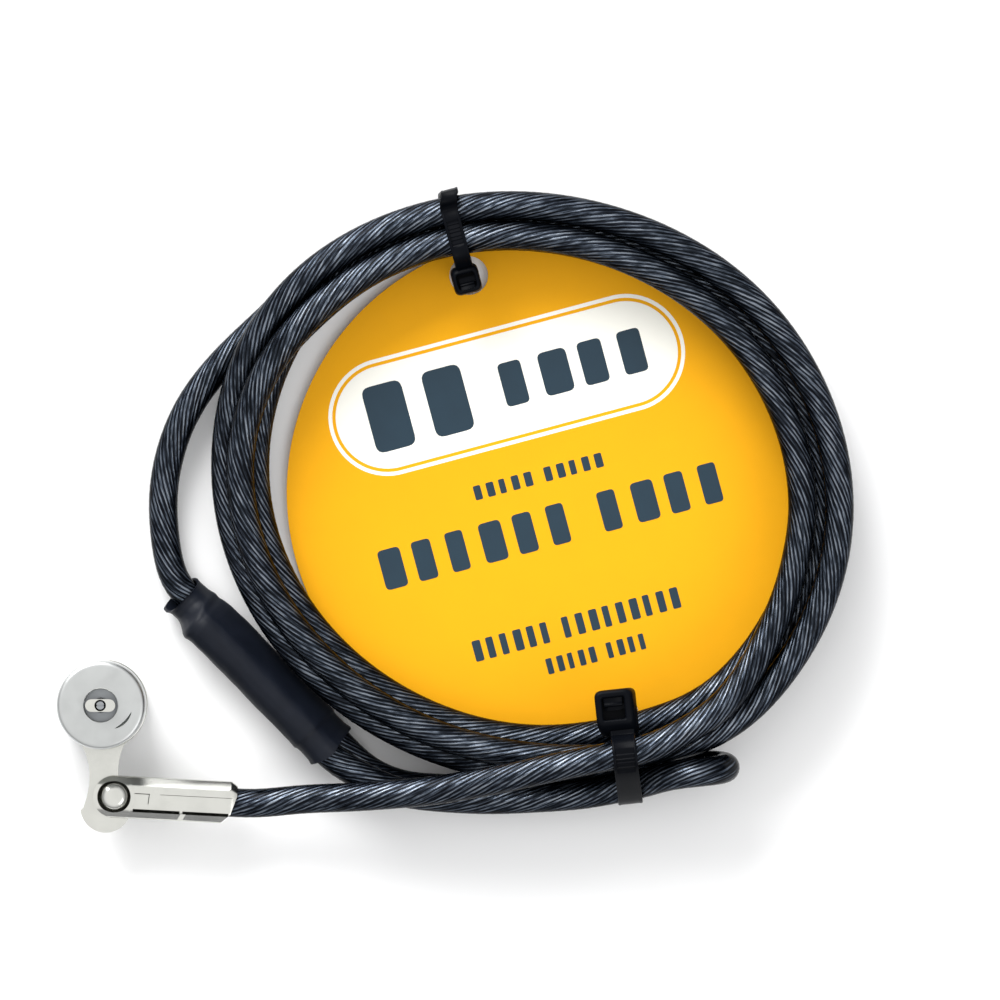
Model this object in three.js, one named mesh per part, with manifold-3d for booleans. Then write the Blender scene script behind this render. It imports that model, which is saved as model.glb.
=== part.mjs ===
// Keyed laptop cable lock, packed as sold: the lock head stands on its key end, a coated steel
// cable leaves it through a pinned ferrule, is wound into a flat coil held by two cable ties over
// a round label card, and ends in an anchor loop with a crimped, sleeved joint.
// Millimetres, +Z up, floor at z = 0. The origin is below the middle of the lock head with its
// swivel collar. The barrel's axis is vertical.
import * as THREE from "three";
import { mergeVertices } from "three/addons/utils/BufferGeometryUtils.js";
import Module from "manifold-3d";

// ---- Driving dimensions -------------------------------------------------------------------
const GAP = 0.3; // between pieces that touch
const CABLE_R = 3; // 6 mm coated cable

const BARREL_R = 9.1;
const BARREL_Y = 8.65; // barrel axis at x = 0
const COLLAR_Z = 10; // middle of the swivel collar, the lug and the ferrule
const COLLAR = { inner: 6.8, outer: 9.3, height: 4 };
const NECK_R = COLLAR.inner - GAP;
const BORE_R = 5.2; // bore for the lock core
const FRONT_Z = 24; // top of the front housing
const NOSE = { hole: 3.45, bottom: 25.3, top: 27.5, round: 0.9 };

const PIN = { x: 2.4, y: -10.45, r: 1.5 }; // ferrule pivot
const LUG = { x: 0.6, y: -12.75, endR: 5.2, thickness: 2.6 };
const LUG_WAIST = { left: -0.5, right: 0.6, y: -3.4 }; // the lug's sides curve in towards here
const FERRULE = { tilt: -3, length: 25.4, width: 8.7, height: 8.4, bevel: 1.8, slotDepth: 8.4 };
const SOCKET = { r: CABLE_R + GAP, depth: 6 };

// The coil's mid line is an oval with its long axis turned by "turn" degrees. The coil reaches
// "inner" and "outer" to the sides of it.
const COIL = {
  x: 88.47, y: 53.43, a: 60.9, b: 54.5, turn: -20.8, bottom: 2.4, top: 18.9, inner: 5.8, outer: 4.2,
};
const LABEL = { x: 91.2, y: 52.55, r: 53.3, bottom: 1.5, thickness: 0.5 };
const HOLE_R = 4; // punched holes in the label card
// The sleeve's axis in plan, its mid height, and the two strands in it: side and up from the axis.
const SLEEVE = { from: [16.5, 31.55], to: [47.2, -0.05], z: 6.7, wall: 0.9 };
const STRAND = { side: 1.55, up: 2.6 };

// Each tie lies in an upright plane through "at" along "dir", and passes through a hole in the card.
const TIE_TOP = { hole: [75.7, 97.5], at: [75.2, 97.65], dir: [-0.256, 0.967], width: 3.6 };
const TIE_BOTTOM = { hole: [106.9, 6.6], at: [107.0, 7.2], dir: [0.105, -0.994], width: 5.0 };
const STRAP = 1.1; // strap thickness

// Cable routes, centreline points.
const LEAD_ROUTE = [
  [41.0, -11.0, 11.6],
  [51.3, -10.55, 14.2],
  [60.0, -9.9, 16.3],
  [68.2, -9.15, 17.8],
  [82.8, -6.55, 21.2],
  [94.0, -4.1, 22.6],
  [104.4, -2.05, 22.6],
  [114.0, -0.1, 22.5],
];
const RUN_OUT_ROUTE = [
  [17.8, 70.5, 5.2],
  [14.2, 62.2, 4.8],
  [12.3, 52.0, 4.4],
  [13.1, 40.1, 4.2],
];
const LEG_OUT_ROUTE = [
  [53.6, -4.6, 4.2],
  [61.5, -8.2, 4.4],
  [71.0, -8.9, 4.5],
  [80.8, -9.2, 4.5],
  [93.0, -9.0, 4.6],
  [105.8, -7.3, 4.7],
  [113.5, -5.9, 4.7],
];
const LEG_BACK_ROUTE = [
  [111.3, -7.4, 13.5],
  [106.5, -8.2, 11.4],
  [99.0, -9.7, 10.7],
  [90.0, -10.7, 10.5],
  [80.8, -11.2, 10.4],
  [70.0, -10.7, 10.1],
  [60.5, -9.4, 9.8],
  [52.8, -5.6, 9.5],
];
const BIGHT = { x: 121.8, y: -4.4, z: 12.4, r: 7.6, lean: 0.1 }; // the turn at the loop's end

const wasm = await Module();
wasm.setup();

// ---- Materials -----------------------------------------------------------------------------
const finish = (color, roughness, metalness) =>
  new THREE.MeshStandardMaterial({ color, roughness, metalness });
const MATERIAL = {
  satin: finish(0xc4c6c6, 0.42, 0.9),
  polished: finish(0xdfe1e2, 0.14, 1),
  steel: finish(0x9a9da0, 0.35, 1),
  brass: finish(0xb8963f, 0.35, 1),
  spring: finish(0x8d9094, 0.3, 1),
  cable: finish(0x232a36, 0.25, 0.2),
  sleeve: finish(0x1f242e, 0.7, 0),
  nylon: finish(0x14161b, 0.45, 0),
  rubber: finish(0x26282b, 0.85, 0),
  card: finish(0xfcc528, 0.6, 0),
};

// ---- Geometry helpers ----------------------------------------------------------------------
const toSolid = (geometry) => {
  const plain = geometry.clone();
  plain.deleteAttribute("normal");
  plain.deleteAttribute("uv");
  const merged = mergeVertices(plain, 1e-4);
  const vertProperties = new Float32Array(merged.attributes.position.array);
  const triVerts = new Uint32Array(merged.index.array);
  return new wasm.Manifold(new wasm.Mesh({ numProp: 3, vertProperties, triVerts }));
};

const toGeometry = (solid) => {
  const mesh = solid.getMesh();
  const geometry = new THREE.BufferGeometry();
  geometry.setAttribute("position", new THREE.BufferAttribute(mesh.vertProperties, 3));
  geometry.setIndex(new THREE.BufferAttribute(mesh.triVerts, 1));
  geometry.computeVertexNormals();
  return geometry;
};

const cut = (body, ...tools) =>
  toGeometry(tools.reduce((left, tool) => left.subtract(toSolid(tool)), toSolid(body)));

const join = (...parts) =>
  toGeometry(parts.map(toSolid).reduce((left, right) => left.add(right)));

// A closed [radius, z] profile, listed anticlockwise, turned about the Z axis.
const revolve = (profile, segments = 32) => {
  const points = profile.map(([r, z]) => new THREE.Vector2(r, z));
  points.push(points[0].clone());
  return new THREE.LatheGeometry(points, segments).rotateX(Math.PI / 2);
};

const disc = (r, z0, z1, segments = 32) =>
  revolve([[0, z0], [r, z0], [r, z1], [0, z1]], segments);

const ring = (inner, outer, z0, z1, segments = 32) =>
  revolve([[inner, z0], [outer, z0], [outer, z1], [inner, z1]], segments);

const box = (x0, x1, y0, y1, z0, z1) =>
  new THREE.BoxGeometry(x1 - x0, y1 - y0, z1 - z0).translate(
    (x0 + x1) / 2,
    (y0 + y1) / 2,
    (z0 + z1) / 2,
  );

const shapeOf = (points) => new THREE.Shape(points.map(([x, y]) => new THREE.Vector2(x, y)));

const extrudeUp = (shape, z0, z1, curveSegments = 16) =>
  new THREE.ExtrudeGeometry(shape, { depth: z1 - z0, bevelEnabled: false, curveSegments })
    .translate(0, 0, z0);

// Drawn in (across, up) and extruded along +X from x0 to x1.
const extrudeAlong = (shape, x0, x1, curveSegments = 12) =>
  new THREE.ExtrudeGeometry(shape, { depth: x1 - x0, bevelEnabled: false, curveSegments })
    .rotateX(Math.PI / 2)
    .rotateZ(Math.PI / 2)
    .translate(x0, 0, 0);

const tube = (points, radius, sides, steps) => {
  const section = [];
  for (let i = 0; i < sides; i += 1) {
    const angle = (2 * Math.PI * i) / sides;
    section.push([radius * Math.cos(angle), radius * Math.sin(angle)]);
  }
  const route = new THREE.CatmullRomCurve3(points.map((p) => new THREE.Vector3(...p)));
  return new THREE.ExtrudeGeometry(shapeOf(section), { steps, extrudePath: route });
};

const ellipseShape = (halfWidth, halfHeight) =>
  new THREE.Shape().absellipse(0, 0, halfWidth, halfHeight, 0, 2 * Math.PI);

const model = new THREE.Group();
const head = new THREE.Group(); // everything on the barrel's axis
head.position.set(0, BARREL_Y, 0);
model.add(head);

const addTo = (parent, name, geometry, material) => {
  const mesh = new THREE.Mesh(geometry, material);
  mesh.name = name;
  parent.add(mesh);
  return mesh;
};

// ---- Lock head housing ---------------------------------------------------------------------
const buildHousing = () => {
  const collarBottom = COLLAR_Z - COLLAR.height / 2;
  const collarTop = COLLAR_Z + COLLAR.height / 2;
  const capTop = collarBottom - GAP;
  const floorZ = 2.1; // thickness of the rear cap's end wall
  const edge = 0.8; // outer edge chamfer
  const rearCap = revolve([
    [BORE_R + 0.1, 0],
    [BARREL_R - edge, 0],
    [BARREL_R, edge],
    [BARREL_R, capTop],
    [NECK_R + GAP, capTop],
    [NECK_R + GAP, floorZ],
    [BORE_R + 0.1, floorZ],
  ], 48);
  addTo(head, "rear_cap", rearCap, MATERIAL.satin);

  const web = { bottom: 16.2, top: 17.8, hole: 3.4 };
  const chamberR = 6.8;
  const frontHousing = revolve([
    [BORE_R, floorZ + GAP],
    [NECK_R, floorZ + GAP],
    [NECK_R, collarTop + GAP],
    [BARREL_R, collarTop + GAP],
    [BARREL_R, FRONT_Z],
    [chamberR, FRONT_Z],
    [chamberR, web.top],
    [web.hole, web.top],
    [web.hole, web.bottom],
    [BORE_R, web.bottom],
  ], 48);
  addTo(head, "front_housing", frontHousing, MATERIAL.satin);

  const insertBottom = 21.6;
  const shaftHole = 1.6;
  const post = { x: 2.35, r: 0.7, top: 28.7 }; // guide posts beside the T-bar's shaft
  const insert = cut(
    join(
      disc(chamberR - GAP, insertBottom, FRONT_Z - 0.1),
      disc(post.r, insertBottom + 1, post.top, 12).translate(post.x, 0, 0),
      disc(post.r, insertBottom + 1, post.top, 12).translate(-post.x, 0, 0),
    ),
    disc(shaftHole, insertBottom - 1, FRONT_Z + 1, 16),
  );
  addTo(head, "nose_insert", insert, MATERIAL.steel);

  const gasket = ring(NOSE.hole + GAP, BARREL_R - 0.2, FRONT_Z + GAP, NOSE.bottom - GAP, 48);
  addTo(head, "nose_gasket", gasket, MATERIAL.rubber);

  const { round, top } = NOSE;
  const nosePlate = revolve([
    [NOSE.hole, NOSE.bottom],
    [BARREL_R, NOSE.bottom],
    [BARREL_R, top - round],
    [BARREL_R - 0.3 * round, top - 0.3 * round],
    [BARREL_R - round, top],
    [NOSE.hole, top],
  ], 48);
  addTo(head, "nose_plate", nosePlate, MATERIAL.satin);
};

// ---- Core with wafers, spindle and locking tip ----------------------------------------------
const buildCore = () => {
  const plugR = BORE_R - GAP;
  const plugTop = 15.9;
  const tail = { r: 3.1, top: 19.6, grooveR: 2.55, groove0: 18.0, groove1: 19.0 };
  const wafer = {
    count: 5, first: 3.2, pitch: 2.3, thickness: 0.7, slot: 1.3, half: 2.4, reach: 4.2, ear: 3.9,
  };
  const keyWindow = { x: 2.7, y: 1.2 }; // half the size of a wafer's window
  const keyway = { long: 7, wide: 1.7, top: 14.4 };
  const pocket = { x0: -2.4, x1: 1.2, y1: 4.1 };
  const waferZ = (i) => wafer.first + i * wafer.pitch;

  const slots = [];
  for (let i = 0; i < wafer.count; i += 1) {
    const z0 = waferZ(i) - wafer.slot / 2;
    const z1 = waferZ(i) + wafer.slot / 2;
    slots.push(box(-plugR - 1, plugR + 1, -wafer.half - GAP, wafer.half + GAP, z0, z1));
    slots.push(box(pocket.x0, pocket.x1, wafer.half, pocket.y1, z0, z1));
  }
  const plugBody = revolve([
    [0, GAP],
    [plugR, GAP],
    [plugR, plugTop],
    [tail.r, plugTop],
    [tail.r, tail.groove0],
    [tail.grooveR, tail.groove0],
    [tail.grooveR, tail.groove1],
    [tail.r, tail.groove1],
    [tail.r, tail.top],
    [0, tail.top],
  ]);
  const keySlot = box(
    -keyway.long / 2, keyway.long / 2, -keyway.wide / 2, keyway.wide / 2, -1, keyway.top,
  );
  addTo(head, "core_plug", cut(plugBody, keySlot, ...slots), MATERIAL.brass);

  const clipDisc = { r: 4.6, bottom: 18.2, top: 18.8, mouth: 1.3 };
  const clip = cut(
    ring(tail.grooveR + GAP, clipDisc.r, clipDisc.bottom, clipDisc.top, 24),
    box(-clipDisc.r - 1, 0, -clipDisc.mouth, clipDisc.mouth, clipDisc.bottom - 1, clipDisc.top + 1),
  );
  addTo(head, "core_clip", clip, MATERIAL.spring);

  const codes = [0.3, -0.2, 0.4, 0, -0.4]; // window offsets, the key's code
  for (let i = 0; i < wafer.count; i += 1) {
    const { half, reach, ear } = wafer;
    const plate = shapeOf([
      [-reach, -half], [reach, -half], [reach, half], [1.0, half],
      [1.0, ear], [0.4, ear], [0.4, half], [-reach, half],
    ]);
    const left = codes[i] - keyWindow.x;
    const right = codes[i] + keyWindow.x;
    plate.holes.push(shapeOf([
      [left, -keyWindow.y], [left, keyWindow.y], [right, keyWindow.y], [right, -keyWindow.y],
    ]));
    const z0 = waferZ(i) - wafer.thickness / 2;
    addTo(head, `wafer_${i + 1}`, extrudeUp(plate, z0, z0 + wafer.thickness), MATERIAL.brass);

    const spring = { turns: 3, perTurn: 8, r: 0.42, from: -2.15, to: 0.0, y: 3.35, wire: 0.11 };
    const coilPoints = [];
    for (let k = 0; k <= spring.turns * spring.perTurn; k += 1) {
      const angle = (2 * Math.PI * k) / spring.perTurn;
      const along = k / (spring.turns * spring.perTurn);
      coilPoints.push([
        spring.from + along * (spring.to - spring.from),
        spring.y + spring.r * Math.cos(angle),
        waferZ(i) + spring.r * Math.sin(angle),
      ]);
    }
    const wire = tube(coilPoints, spring.wire, 5, spring.turns * spring.perTurn);
    addTo(head, `wafer_spring_${i + 1}`, wire, MATERIAL.spring);
  }

  const shaft = {
    r: 1.3, bottom: 19.9, flangeR: 3.2, flangeTop: 21.3, top: 24.5, threadR: 0.85, threadEnd: 21.7,
  };
  const spindle = revolve([
    [0, shaft.bottom],
    [shaft.flangeR, shaft.bottom],
    [shaft.flangeR, shaft.flangeTop],
    [shaft.r, shaft.flangeTop],
    [shaft.r, shaft.top],
    [shaft.threadR, shaft.top],
    [shaft.threadR, shaft.threadEnd],
    [0, shaft.threadEnd],
  ], 16);
  addTo(head, "spindle", spindle, MATERIAL.steel);

  const bar = { half: 3.1, wide: 1.3, bottom: 29.0, top: 30.6 }; // half its length and width
  const barShape = new THREE.Shape();
  barShape.absarc(bar.half - bar.wide, 0, bar.wide, -Math.PI / 2, Math.PI / 2);
  barShape.absarc(-(bar.half - bar.wide), 0, bar.wide, Math.PI / 2, 1.5 * Math.PI);
  const screwHole = revolve([
    [0, 20],
    [shaft.threadR, 20],
    [shaft.threadR, 29.6],
    [1.2, bar.top + 0.01],
    [1.2, 32],
    [0, 32],
  ], 16);
  const tBar = cut(
    join(disc(shaft.r, shaft.top + GAP, bar.bottom + 0.5, 16), extrudeUp(barShape, bar.bottom, bar.top, 6)),
    screwHole,
  );
  addTo(head, "t_bar", tBar, MATERIAL.steel);

  const screw = revolve([
    [0, 22.0],
    [0.55, 22.0],
    [0.55, 29.7],
    [0.85, 30.4],
    [0, 30.4],
  ], 12);
  const screwdriverSlot = box(-1.5, 1.5, -0.15, 0.15, 30.05, 31);
  addTo(head, "tip_screw", cut(screw, screwdriverSlot), MATERIAL.steel);
};

// ---- Swivel collar, pivot pin and cable ferrule ----------------------------------------------
const buildCollar = () => {
  const half = COLLAR.height / 2;
  const lugY = LUG.y - BARREL_Y;
  const end = new THREE.Shape();
  end.absarc(LUG.x, lugY, LUG.endR, 0, 2 * Math.PI);
  const root = { x: 6.5, y: -5.5 }; // where the lug's sides leave the ring
  const waistY = LUG_WAIST.y - BARREL_Y;
  const endHalf = LUG.endR - 0.6;
  const web = new THREE.Shape();
  web.moveTo(-root.x, root.y);
  web.quadraticCurveTo(LUG_WAIST.left, waistY, LUG.x - endHalf, lugY);
  web.lineTo(LUG.x + endHalf, lugY);
  web.quadraticCurveTo(LUG_WAIST.right, waistY, root.x, root.y);
  const z0 = COLLAR_Z - LUG.thickness / 2;
  const z1 = COLLAR_Z + LUG.thickness / 2;
  const collar = cut(
    join(
      disc(COLLAR.outer, COLLAR_Z - half, COLLAR_Z + half, 48),
      extrudeUp(end, z0, z1, 12),
      extrudeUp(web, z0, z1, 6),
    ),
    disc(COLLAR.inner, COLLAR_Z - half - 1, COLLAR_Z + half + 1, 48),
    disc(PIN.r + GAP, z0 - 1, z1 + 1, 24).translate(PIN.x, PIN.y - BARREL_Y, 0),
  );
  addTo(head, "swivel_collar", collar, MATERIAL.polished);
};

const buildFerrule = () => {
  const group = new THREE.Group(); // x along the ferrule, origin on the pin
  group.position.set(PIN.x, PIN.y, COLLAR_Z);
  group.rotation.z = THREE.MathUtils.degToRad(FERRULE.tilt);
  model.add(group);

  const w = FERRULE.width / 2;
  const h = FERRULE.height / 2;
  const b = FERRULE.bevel;
  const section = shapeOf([
    [-w + b, -h], [w - b, -h], [w, -h + b], [w, h - b], [w - b, h], [-w + b, h], [-w, h - b], [-w, -h + b],
  ]);
  const nose = 1.3; // chamfer at the cable end
  const slant = { side: 3.3, back: 1.2, from: 1.3, to: -2.5 }; // the mouth is cut off on one side
  const outline = new THREE.Shape();
  outline.moveTo(0, -w);
  outline.lineTo(FERRULE.length - slant.side, -w);
  outline.lineTo(FERRULE.length - slant.back, slant.to);
  outline.lineTo(FERRULE.length, slant.from);
  outline.lineTo(FERRULE.length, w - nose);
  outline.lineTo(FERRULE.length - nose, w);
  outline.lineTo(0, w);
  outline.absarc(0, 0, w, Math.PI / 2, 1.5 * Math.PI);
  const block = toSolid(extrudeAlong(section, -w - 1, FERRULE.length + 1))
    .intersect(toSolid(extrudeUp(outline, -h, h, 12)));

  const slotHalf = LUG.thickness / 2 + GAP;
  const rivet = { topR: 3.1, bottomR: 2.5, seat: 1.0 };
  const crimp = { x: 12.9, long: 1.4, deep: 0.45 };
  const ferrule = cut(
    toGeometry(block),
    box(-w - 2, FERRULE.slotDepth, -w - 1, w + 1, -slotHalf, slotHalf),
    disc(PIN.r + GAP, -h - 1, h + 1, 24),
    disc(rivet.topR + GAP, h - rivet.seat, h + 1, 24),
    disc(rivet.bottomR + GAP, -h - 1, -h + rivet.seat, 24),
    extrudeAlong(ellipseShape(SOCKET.r, SOCKET.r), FERRULE.length - SOCKET.depth, FERRULE.length + 1),
    box(crimp.x, crimp.x + crimp.long, -w - 1, -w + crimp.deep, -h, h),
    box(crimp.x, crimp.x + crimp.long, w - crimp.deep, w + 1, -h, h),
  );
  addTo(group, "cable_ferrule", ferrule, MATERIAL.polished);

  const seatTop = h - rivet.seat + GAP;
  const pin = revolve([
    [0, -h + 0.1],
    [rivet.bottomR, -h + 0.1],
    [rivet.bottomR, -seatTop],
    [PIN.r, -seatTop],
    [PIN.r, seatTop],
    [rivet.topR, seatTop],
    [rivet.topR - 0.3, h + 0.1],
    [rivet.topR - 1.4, h + 0.45],
    [0, h + 0.6],
  ], 24);
  addTo(group, "pivot_pin", pin, MATERIAL.polished);
};

// ---- Cable: lead, coil, run-out and anchor loop ----------------------------------------------
const ferrulePoint = (distance) => {
  const tilt = THREE.MathUtils.degToRad(FERRULE.tilt);
  return [PIN.x + distance * Math.cos(tilt), PIN.y + distance * Math.sin(tilt), COLLAR_Z];
};

const sleeveDirection = () => {
  const dx = SLEEVE.to[0] - SLEEVE.from[0];
  const dy = SLEEVE.to[1] - SLEEVE.from[1];
  const length = Math.hypot(dx, dy);
  return { x: dx / length, y: dy / length, length };
};

// A point by the sleeve: "along" from its first mouth, "side" to the coil's side of its axis.
const sleevePoint = (along, side, z) => {
  const d = sleeveDirection();
  return [
    SLEEVE.from[0] + along * d.x - side * d.y,
    SLEEVE.from[1] + along * d.y + side * d.x,
    z,
  ];
};

const buildCable = () => {
  const start = FERRULE.length - SOCKET.depth + GAP;
  const lead = [ferrulePoint(start), ferrulePoint(FERRULE.length + 4), ...LEAD_ROUTE];
  addTo(model, "cable_lead", tube(lead, CABLE_R, 10, 22), MATERIAL.cable);

  // The coil's outer shape: a ring with bevelled edges, stretched to the coil's oval.
  const meanR = (COIL.a + COIL.b) / 2;
  const bevel = { across: 3.2, up: 4.7, under: 7.6 };
  const { inner, outer, bottom, top } = COIL;
  const coilRing = revolve([
    [meanR - inner + bevel.across, bottom],
    [meanR + outer - bevel.across, bottom],
    [meanR + outer, bottom + bevel.under],
    [meanR + outer, top - bevel.up],
    [meanR + outer - bevel.across, top],
    [meanR - inner + bevel.across, top],
    [meanR - inner, top - bevel.up],
    [meanR - inner, bottom + bevel.under],
  ], 64);
  const coil = addTo(model, "cable_coil", coilRing, MATERIAL.cable);
  coil.position.set(COIL.x, COIL.y, 0);
  coil.rotation.z = THREE.MathUtils.degToRad(COIL.turn);
  coil.scale.set(COIL.a / meanR, COIL.b / meanR, 1);

  const lowZ = SLEEVE.z - STRAND.up;
  const highZ = SLEEVE.z + STRAND.up;
  const runOut = [...RUN_OUT_ROUTE, sleevePoint(-2.5, 0.1, lowZ), sleevePoint(-GAP, 0, lowZ)];
  addTo(model, "cable_run_out", tube(runOut, CABLE_R, 10, 12), MATERIAL.cable);

  const { length } = sleeveDirection();
  const bight = [];
  for (let angle = -90; angle <= 135; angle += 45) {
    const turn = THREE.MathUtils.degToRad(angle);
    bight.push([
      BIGHT.x + BIGHT.r * Math.cos(turn),
      BIGHT.y - BIGHT.lean * BIGHT.r * Math.sin(turn),
      BIGHT.z + BIGHT.r * Math.sin(turn),
    ]);
  }
  const loop = [
    sleevePoint(length + GAP, STRAND.side, lowZ),
    sleevePoint(length + 3, STRAND.side, lowZ),
    ...LEG_OUT_ROUTE,
    ...bight,
    ...LEG_BACK_ROUTE,
    sleevePoint(length + 3, -STRAND.side, highZ),
    sleevePoint(length + GAP, -STRAND.side, highZ),
  ];
  addTo(model, "cable_loop", tube(loop, CABLE_R, 10, 48), MATERIAL.cable);
};

// A capsule round the two strands in the sleeve, drawn in (side, up).
const strandOutline = (r) => {
  const lean = Math.atan2(STRAND.up, -STRAND.side);
  const outline = new THREE.Shape();
  outline.absarc(-STRAND.side, STRAND.up, r, lean - Math.PI / 2, lean + Math.PI / 2);
  outline.absarc(STRAND.side, -STRAND.up, r, lean + Math.PI / 2, lean + 1.5 * Math.PI);
  return outline;
};

const buildSleeve = () => {
  const d = sleeveDirection();
  const group = new THREE.Group(); // x along the sleeve
  group.position.set(SLEEVE.from[0], SLEEVE.from[1], SLEEVE.z);
  group.rotation.z = Math.atan2(d.y, d.x);
  model.add(group);
  const outerR = CABLE_R + SLEEVE.wall + 0.1;
  const innerR = outerR - SLEEVE.wall;
  const skin = strandOutline(outerR);
  skin.holes.push(strandOutline(innerR));
  addTo(group, "shrink_sleeve", extrudeAlong(skin, 0, d.length, 8), MATERIAL.sleeve);
  const crimp = extrudeAlong(strandOutline(innerR - GAP), 0.1, d.length - 0.1, 8);
  addTo(group, "loop_ferrule", crimp, MATERIAL.steel);
};

// ---- Label card and cable ties -----------------------------------------------------------------
const buildLabel = () => {
  const card = new THREE.Shape().absarc(LABEL.x, LABEL.y, LABEL.r, 0, 2 * Math.PI);
  for (const tie of [TIE_TOP, TIE_BOTTOM])
    card.holes.push(new THREE.Path().absarc(tie.hole[0], tie.hole[1], HOLE_R, 0, 2 * Math.PI));
  const sheet = extrudeUp(card, LABEL.bottom, LABEL.bottom + LABEL.thickness, 48);
  addTo(model, "label_card", sheet, MATERIAL.card);
};

// A closed strap in an upright plane: "inside" is its inner outline as [distance from "at", z],
// "outside" the outer one. The head is a box with a recessed window, joined to the strap.
const buildTie = (name, tie, outside, inside, headBox) => {
  const band = shapeOf(outside);
  band.holes.push(shapeOf(inside));
  const half = tie.width / 2;
  const strap = new THREE.ExtrudeGeometry(band, { depth: tie.width, bevelEnabled: false })
    .rotateX(Math.PI / 2)
    .translate(0, half, 0);
  const { from, to, bottom, top, half: wide } = headBox;
  const mid = (inside[0][0] + outside[0][0]) / 2;
  const block = cut(
    join(strap, box(from, to, -wide, wide, bottom, top)),
    box(mid - 1.3, mid + 1.3, -half + 0.6, half - 0.6, top - 1.6, top + 1),
  );
  const mesh = addTo(model, name, block, MATERIAL.nylon);
  mesh.position.set(tie.at[0], tie.at[1], 0);
  mesh.rotation.z = Math.atan2(tie.dir[1], tie.dir[0]);
};

const buildTies = () => {
  buildTie(
    "tie_top",
    TIE_TOP,
    [
      [-1.8, 0], [13.6, 0], [17.7, 5.2], [17.7, 17.0], [14.2, 20.4],
      [5.6, 20.4], [1.4, 16.8], [-1.8, 16.8],
    ],
    [
      [-0.7, STRAP], [13.0, STRAP], [16.6, 5.8], [16.6, 16.2], [13.6, 19.3],
      [6.0, 19.3], [2.2, 15.9], [-0.7, 15.9],
    ],
    { from: -4.4, to: 1.8, bottom: 12.4, top: 17.0, half: 2.9 },
  );
  buildTie(
    "tie_bottom",
    TIE_BOTTOM,
    [
      [-1.75, 0], [17.5, 0], [19.7, 3.2], [19.7, 14.9], [12.1, 27.1],
      [4.6, 27.1], [1.2, 23.6], [-1.75, 23.6],
    ],
    [
      [-0.65, STRAP], [16.9, STRAP], [18.6, 3.5], [18.6, 14.5], [11.5, 26.0],
      [5.0, 26.0], [3.9, 19.2], [-0.65, 19.2],
    ],
    { from: -5.0, to: 3.7, bottom: 19.3, top: 24.3, half: 4.1 },
  );
};

buildHousing();
buildCore();
buildCollar();
buildFerrule();
buildCable();
buildSleeve();
buildLabel();
buildTies();

export default model;
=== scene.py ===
"""Looks of the keyed laptop cable lock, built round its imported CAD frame. Metres, +Z up."""
import math

import bmesh
import bpy
import numpy as np
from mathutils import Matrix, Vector, noise


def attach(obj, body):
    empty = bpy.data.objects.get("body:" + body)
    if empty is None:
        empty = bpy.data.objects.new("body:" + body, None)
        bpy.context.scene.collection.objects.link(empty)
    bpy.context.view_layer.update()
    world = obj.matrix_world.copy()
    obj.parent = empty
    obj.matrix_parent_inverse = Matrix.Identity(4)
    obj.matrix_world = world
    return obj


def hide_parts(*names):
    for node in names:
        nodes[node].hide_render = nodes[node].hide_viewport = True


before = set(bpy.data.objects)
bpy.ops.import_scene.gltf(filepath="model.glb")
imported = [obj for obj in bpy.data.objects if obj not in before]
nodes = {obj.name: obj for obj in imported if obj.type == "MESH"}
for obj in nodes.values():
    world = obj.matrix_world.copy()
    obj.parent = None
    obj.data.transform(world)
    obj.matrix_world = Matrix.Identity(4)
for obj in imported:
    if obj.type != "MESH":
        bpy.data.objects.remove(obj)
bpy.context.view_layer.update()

# ---- Driving dimensions ----------------------------------
CABLE_R = 0.003
GAP = 0.0003
BARREL = Vector((0, 0.00865, 0))  # axis of the lock head
COLLAR_Z = 0.010
PIN = Vector((0.0024, -0.01045, COLLAR_Z))  # ferrule pivot
FERRULE_TILT = math.radians(-3)
FERRULE_LENGTH = 0.0254
SOCKET_DEPTH = 0.006

COIL = {"x": 0.08847, "y": 0.05343, "a": 0.0609, "b": 0.0545}  # mid line, an oval
COIL_TURN = math.radians(-20.8)  # from the X axis to the oval's long axis
CARD = {"x": 0.0912, "y": 0.05255, "r": 0.0533, "bottom": 0.0015, "top": 0.0020}
HOLE_R = 0.004
SLEEVE = {"from": Vector((0.0165, 0.03155, 0.0067)), "to": Vector((0.0472, -0.00005, 0.0067))}
STRAND_SIDE = 0.00155  # the two strands in the sleeve lie this far to each side of its axis
STRAND_UP = 0.0026  # and this far above and below it
# Each tie lies in an upright plane through "at", and passes through the card's hole beside it.
TIE_TOP = {
    "hole": Vector((0.0757, 0.0975, 0)), "at": Vector((0.0752, 0.09765, 0)),
    "out": Vector((-0.256, 0.967, 0)), "width": 0.0036,
}
TIE_BOTTOM = {
    "hole": Vector((0.1069, 0.0066, 0)), "at": Vector((0.1070, 0.0072, 0)),
    "out": Vector((0.105, -0.994, 0)), "width": 0.0050,
}

# ---- Cable routes, the CAD's own points ------------------
LEAD_ROUTE = [
    (0.0410, -0.01100, 0.0116), (0.0513, -0.01055, 0.0142), (0.0600, -0.00990, 0.0163),
    (0.0682, -0.00915, 0.0178), (0.0828, -0.00655, 0.0212), (0.0940, -0.00410, 0.0226),
    (0.1044, -0.00205, 0.0226), (0.1140, -0.00010, 0.0225),
]
RUN_OUT_ROUTE = [
    (0.0178, 0.0705, 0.0052), (0.0142, 0.0622, 0.0048), (0.0123, 0.0520, 0.0044),
    (0.0131, 0.0401, 0.0042),
]
LEG_OUT_ROUTE = [
    (0.0536, -0.0046, 0.0042), (0.0615, -0.0082, 0.0044), (0.0710, -0.0089, 0.0045),
    (0.0808, -0.0092, 0.0045), (0.0930, -0.0090, 0.0046), (0.1058, -0.0073, 0.0047),
    (0.1135, -0.0059, 0.0047),
]
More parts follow.
